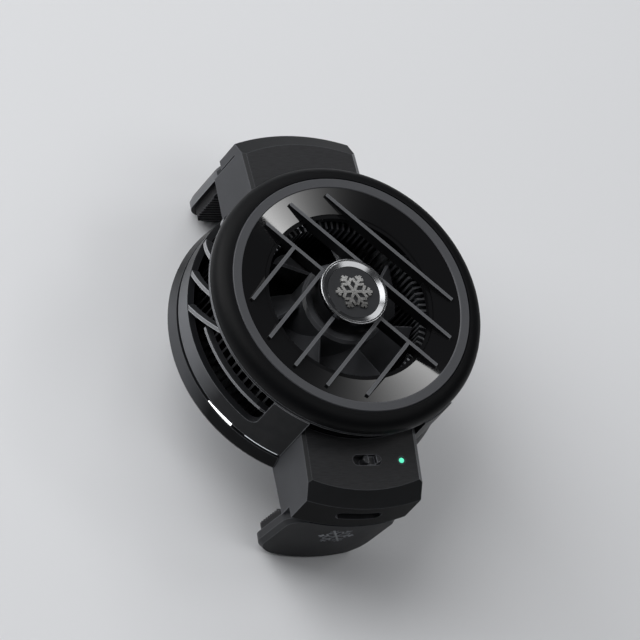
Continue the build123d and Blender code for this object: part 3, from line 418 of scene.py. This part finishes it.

# Arms, hooks, pads, knob and status light
# Arm shell faces: lit and shaded copies of one dark plastic, painted light on the sides and right
# chamfers, painted shade on the left chamfers and ends
moulded("arm_side", (0.052, 0.0535, 0.058), 0.50, spread=0.3, wear_and_highlight=2.4, specular=0.12)
brushed_plastic("arm_front", (0.0175, 0.018, 0.0200), 0.46, stretch=(1.0, 16.0, 1.0))
moulded("arm_bevel", (0.0130, 0.0136, 0.0148), 0.50, spread=0.2, wear_and_highlight=5.6, specular=0.15)
moulded("arm_end", (0.0036, 0.0038, 0.0042), 0.50, spread=0.2, wear_and_highlight=12.0, specular=0.05)
moulded("hook_face", (0.0125, 0.013, 0.0145), 0.45, spread=0.2, wear_and_highlight=6.0, specular=0.1)
moulded("hook_side", (0.026, 0.027, 0.0295), 0.38, spread=0.15, wear_and_highlight=4.0, specular=0.15)
# The upper hook's flat sides: painted light
moulded("hook_side_painted_light", (0.120, 0.124, 0.132), 0.32, spread=0.15, wear_and_highlight=2.0, specular=0.3)
# The sunken snowflake's floor and walls: a painted highlight that shows it as light lines
moulded("hook_mark_painted_highlight", (0.240, 0.247, 0.262), 0.45, spread=0.2, specular=0.1)
moulded("pad_rubber", (0.010, 0.010, 0.011), 0.58, spread=0.2, wear_and_highlight=7.0, specular=0.25)
moulded("knob_satin", (0.026, 0.027, 0.030), 0.30, spread=0.15, wear_and_highlight=9.0, specular=0.4)
glowing("lens_green", (0.10, 0.80, 0.50), strength=1.0, body=(0.12, 0.6, 0.42))
moulded("led_white", (0.85, 0.86, 0.78), 0.35, spread=0.03, wear_and_highlight=1.02)
moulded("socket_insulator", (0.010, 0.010, 0.011), 0.45, specular=0.3)

# Cooling module, heat sink and cold plate
turned_metal("plate_aluminium", (0.78, 0.79, 0.81), 0.26)
moulded("seal_silicone", (0.040, 0.041, 0.045), 0.6)
# Heat sink fins: dark aluminium, with painted shade lower down and painted light on their top edges
metal_with_painted_shading(
    "sink_aluminium", (0.007, 0.0073, 0.008), (0.30, 0.31, 0.33), 0.36,
    "Z", FIN_PAINTED_SHADE_Z, FIN_PAINTED_LIGHT_Z,
)
moulded("ceramic_white", (0.80, 0.80, 0.77), 0.6, spread=0.04, wear_and_highlight=1.05)
metal("leg_metal", (0.34, 0.35, 0.37), 0.4)
moulded("foam_black", (0.03, 0.03, 0.032), 0.85, grain=2500.0, grain_depth=0.05)

# Motor, board, leads and screws
metal("steel", (0.55, 0.56, 0.58), 0.3)
metal("screw_black", (0.09, 0.09, 0.10), 0.38)
metal("brass", (0.72, 0.56, 0.28), 0.3)
metal("copper", (0.70, 0.36, 0.20), 0.35, stretch=(1.0, 1.0, 12.0))
moulded("magnet_black", (0.055, 0.055, 0.06), 0.6)
moulded("board_green", (0.015, 0.11, 0.055), 0.4, spread=0.1)
moulded("lead_insulation", (0.35, 0.03, 0.03), 0.45, spread=0.06)


# Finish of each node, then of the faces that differ from the rest of their node, by finish or by
# painted light and shade


def cover(node, material):
    """Gives a whole node one material."""
    nodes[node].data.materials.clear()
    nodes[node].data.materials.append(MATERIALS[material])


def paint(node, *rules):
    """Gives each face of a node the material of the first rule that fits.

    A rule looks at the face's centre, its normal and its distance from the fan's axis."""
    part = nodes[node]
    for material, fits in rules:
        part.data.materials.append(MATERIALS[material])
    for face in part.data.polygons:
        for index, (material, fits) in enumerate(rules, 1):
            if fits(face.center, face.normal, math.hypot(face.center.x, face.center.y)):
                face.material_index = index
                break


def on_strut(centre, radius):
    """Whether a point is on the struts or the rib that cross the side vents."""
    end = STRUT_END_UPPER_X if centre.y > 0 else STRUT_END_LOWER_X
    in_vent = VENT_LOW_Z + FINE < centre.z < VENT_TOP_Z - FINE
    return in_vent and radius > STRUT_R and abs(centre.x) > end


def on_rim(centre, radius):
    """Whether a point is on the housing's rim below the bezel."""
    return VENT_TOP_Z - FINE < centre.z < RIM_TOP_Z + FINE and radius > RIM_R


def on_grille_ring(centre, radius):
    """Whether a point is on the ring that carries the grille's bars."""
    return GRILLE_RING_INNER_R < radius < GRILLE_RING_OUTER_R and centre.z < BAR_LOW_Z


def upright(normal):
    """Whether a face looks sideways rather than up or down."""
    return abs(normal.z) < UPRIGHT_SHARE


for subpart in frame["record"]["subparts"]:
    cover(subpart["node"], subpart["material_slot"])

# The struts' upright faces take painted light and their other faces painted shade
paint(
    "vent_housing",
    ("painted_lit_grey", lambda c, n, r: on_strut(c, r) and upright(n)),
    ("strut_painted_shade", lambda c, n, r: on_strut(c, r)),
    ("rim_band", lambda c, n, r: on_rim(c, r)),
    ("band_grey", lambda c, n, r: c.z < RIM_TOP_Z and r > BAND_R and upright(n)),
)
paint("rear_cover", ("rear_band", lambda c, n, r: r > BAND_R and upright(n)))
paint(
    "intake_grille",
    ("bar_top", lambda c, n, r: n.z > BAR_TOP_SHARE and c.z > BAR_LOW_Z),
    ("funnel_gloss", lambda c, n, r: on_grille_ring(c, r)),
)
# The arm shells' faces take painted light on their sides and right chamfers, and painted shade on
# their left chamfers and ends
for arm_shell in ("lower_arm_shell", "upper_arm_shell"):
    cover(arm_shell, "arm_side")
    paint(
        arm_shell,
        ("arm_front", lambda c, n, r: n.z > LEVEL_SHARE),
        ("painted_lit_grey", lambda c, n, r: n.z > UPRIGHT_SHARE and n.x > CHAMFER_SHARE),
        ("arm_bevel", lambda c, n, r: n.z > CHAMFER_SHARE and n.x < -CHAMFER_SHARE),
        ("arm_side", lambda c, n, r: n.x < -CHAMFER_SHARE),
        ("arm_bevel", lambda c, n, r: n.z > CHAMFER_SHARE),
        ("arm_end", lambda c, n, r: abs(n.y) > ARM_END_SHARE and r > ARM_END_R),
    )

hook_out = Vector((0, -math.cos(HOOK_LEAN), -math.sin(HOOK_LEAN)))
hook_reach = max(vertex.co.dot(hook_out) for vertex in nodes["lower_hook"].data.vertices)


def in_mark(centre, normal):
    """Whether a face is the floor or a wall of the sunken snowflake on the lower hook."""
    depth = hook_reach - centre.dot(hook_out)
    facing = normal.dot(hook_out)
    on_floor = facing > MARK_FLOOR_SHARE and depth > MARK_DEPTH - MARK_SLACK
    on_wall = abs(facing) < MARK_WALL_SHARE
    in_reach = abs(centre.x) < MARK_R and depth < MARK_DEPTH + MARK_SLACK
    return in_reach and (on_floor or on_wall)


# The sunken snowflake on the lower hook takes a painted highlight
cover("lower_hook", "hook_face")
paint(
    "lower_hook",
    ("hook_mark_painted_highlight", lambda c, n, r: in_mark(c, n)),
    ("hook_side", lambda c, n, r: abs(n.x) > CHAMFER_SHARE),
)
cover("upper_hook", "hook_face")
# The upper hook's flat sides take painted light
paint(
    "upper_hook",
    ("hook_side_painted_light", lambda c, n, r: abs(n.x) > HOOK_SIDE_SHARE),
    ("hook_side", lambda c, n, r: abs(n.x) > CHAMFER_SHARE),
)
cover("switch_knob", "knob_satin")


# Camera


def place_camera():
    """Looks at the face ring so that its centre falls on its pixel in the photograph."""
    right = IMAGE_RIGHT.normalized()
    up = (IMAGE_UP - right * IMAGE_UP.dot(right)).normalized()
    back = right.cross(up)
    ring_centre = Vector((0, 0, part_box("face_ring")[1].z))
    per_px = CAMERA_DISTANCE * SENSOR_MM / LENS_MM / IMAGE_PX
    aside = (RING_CENTRE_PX[0] - IMAGE_PX / 2) * per_px
    above = (IMAGE_PX / 2 - RING_CENTRE_PX[1]) * per_px
    data = bpy.data.cameras.new("camera")
    data.lens = LENS_MM
    data.sensor_width = SENSOR_MM
    data.clip_start = CLIP_NEAR
    data.clip_end = CLIP_FAR
    camera = bpy.data.objects.new("camera", data)
    bpy.context.scene.collection.objects.link(camera)
    place = ring_centre + back * CAMERA_DISTANCE - right * aside - up * above
    turn = Matrix((right, up, back)).transposed().to_4x4()
    camera.matrix_world = Matrix.Translation(place) @ turn
    bpy.context.scene.camera = camera
    return back


view_back = place_camera()


# Floor, world and softboxes


def make_floor():
    """A plain floor, clear from below so that the underside can be seen."""
    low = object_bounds()[0].z - FLOOR_GAP
    corners = [(-1, -1), (1, -1), (1, 1), (-1, 1)]
    points = [(x * FLOOR_HALF, y * FLOOR_HALF, low) for x, y in corners]
    mesh = bpy.data.meshes.new("floor")
    mesh.from_pydata(points, [], [(0, 1, 2, 3)])
    floor = bpy.data.objects.new("floor", mesh)
    bpy.context.scene.collection.objects.link(floor)
    n = Nodes("floor")
    slow = n.noise(scale=3.0, detail=2.0)
    n.set_colour(n.mix_colour(slow, scaled(FLOOR_COLOUR, 0.96), scaled(FLOOR_COLOUR, 1.04)))
    n.shader.inputs["Roughness"].default_value = FLOOR_ROUGHNESS
    geometry = n.add("ShaderNodeNewGeometry")
    clear = n.add("ShaderNodeBsdfTransparent")
    sides = n.add("ShaderNodeMixShader")
    n.link(geometry.outputs["Backfacing"], sides.inputs[0])
    n.link(n.shader.outputs["BSDF"], sides.inputs[1])
    n.link(clear.outputs["BSDF"], sides.inputs[2])
    n.link(sides.outputs["Shader"], n.tree.nodes["Material Output"].inputs["Surface"])
    floor.data.materials.append(n.material)


def make_world():
    world = bpy.data.worlds.new("studio")
    world.use_nodes = True
    background = world.node_tree.nodes["Background"]
    background.inputs["Color"].default_value = (*WORLD_COLOUR, 1.0)
    background.inputs["Strength"].default_value = WORLD_STRENGTH
    bpy.context.scene.world = world


def fade_lamp(data, power):
    """Dims an area lamp along its width by a power of the distance left."""
    data.use_nodes = True
    tree = data.node_tree
    emission = next(node for node in tree.nodes if node.type == "EMISSION")
    geometry = tree.nodes.new("ShaderNodeNewGeometry")
    split = tree.nodes.new("ShaderNodeSeparateXYZ")
    left = tree.nodes.new("ShaderNodeMath")
    left.operation = "SUBTRACT"
    left.inputs[0].default_value = 1.0
    tree.links.new(geometry.outputs["Parametric"], split.inputs["Vector"])
    tree.links.new(split.outputs["X"], left.inputs[1])
    curve = tree.nodes.new("ShaderNodeMath")
    curve.operation = "POWER"
    curve.inputs[1].default_value = power
    tree.links.new(left.outputs["Value"], curve.inputs[0])
    tree.links.new(curve.outputs["Value"], emission.inputs["Strength"])


def softbox(name, direction, distance, width, height, radiance, along=None, fade=None):
    """An area lamp that faces the object from a direction in the frame.

    along is the direction of its width, and fade is the power with which it dims along it."""
    data = bpy.data.lights.new(name, "AREA")
    data.shape = "RECTANGLE"
    data.size = width
    data.size_y = height
    data.energy = radiance * math.pi * width * height
    lamp = bpy.data.objects.new(name, data)
    bpy.context.scene.collection.objects.link(lamp)
    away = Vector(direction).normalized()
    across = Vector(along) if along else Vector((0, 0, 1)).cross(away)
    across = (across - away * across.dot(away)).normalized()
    face = Matrix((across, away.cross(across), away)).transposed().to_4x4()
    lamp.matrix_world = Matrix.Translation(LIT_POINT + away * distance) @ face
    if fade:
        fade_lamp(data, fade)


def funnel_mirror(turn):
    """The direction that the camera sees mirrored in the funnel at an angle about the axis."""
    turn = math.radians(turn)
    tilt = math.radians(FUNNEL_SLOPE)
    inward = Vector((-math.cos(turn), -math.sin(turn), 0))
    normal = inward * math.sin(tilt) + Vector((0, 0, math.cos(tilt)))
    return 2 * normal.dot(view_back) * normal - view_back


def funnel_softbox(name, bright_turn, dim_turn, radiance, fade):
    """A softbox whose mirror image runs round the funnel from a sharp bright end to a dim one."""
    bright = funnel_mirror(bright_turn)
    dim = funnel_mirror(dim_turn)
    middle = (bright + dim + funnel_mirror((bright_turn + dim_turn) / 2)) / 3
    along = dim - bright
    width = along.length * FUNNEL_BOX_DISTANCE
    softbox(
        name, middle, FUNNEL_BOX_DISTANCE, width, FUNNEL_BOX_HEIGHT, radiance, along, fade
    )


make_floor()
make_world()
for funnel_box in FUNNEL_BOXES:
    funnel_softbox(*funnel_box)
for box in SOFTBOXES:
    softbox(*box)
bpy.context.scene.view_settings.view_transform = "Standard"


# Lit stretches of the light guide


def lit_arc(name, start, end, low_z, first_h, last_h, material):
    """A thin lit band on the light guide's outer face, from one height to another."""
    bm = bmesh.new()
    inner_r = GUIDE_R - GUIDE_DEPTH
    rows = []
    for step in range(GUIDE_STEPS + 1):
        turn = math.radians(start + (end - start) * step / GUIDE_STEPS)
        high_z = low_z + first_h + (last_h - first_h) * step / GUIDE_STEPS
        profile = ((GUIDE_R, low_z), (GUIDE_R, high_z), (inner_r, high_z), (inner_r, low_z))
        rows.append([
            bm.verts.new((r * math.cos(turn), r * math.sin(turn), z)) for r, z in profile
        ])
    for near, far in zip(rows, rows[1:]):
        for side in range(4):
            after = (side + 1) % 4
            bm.faces.new((near[side], far[side], far[after], near[after]))
    bm.faces.new(rows[0])
    bm.faces.new(reversed(rows[-1]))
    bmesh.ops.recalc_face_normals(bm, faces=bm.faces)
    mesh = bpy.data.meshes.new(name)
    bm.to_mesh(mesh)
    bm.free()
    mesh.materials.append(MATERIALS[material])
    piece = bpy.data.objects.new(name, mesh)
    bpy.context.scene.collection.objects.link(piece)
    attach(piece, "body")


for arc in LIT_ARCS:
    lit_arc(*arc)
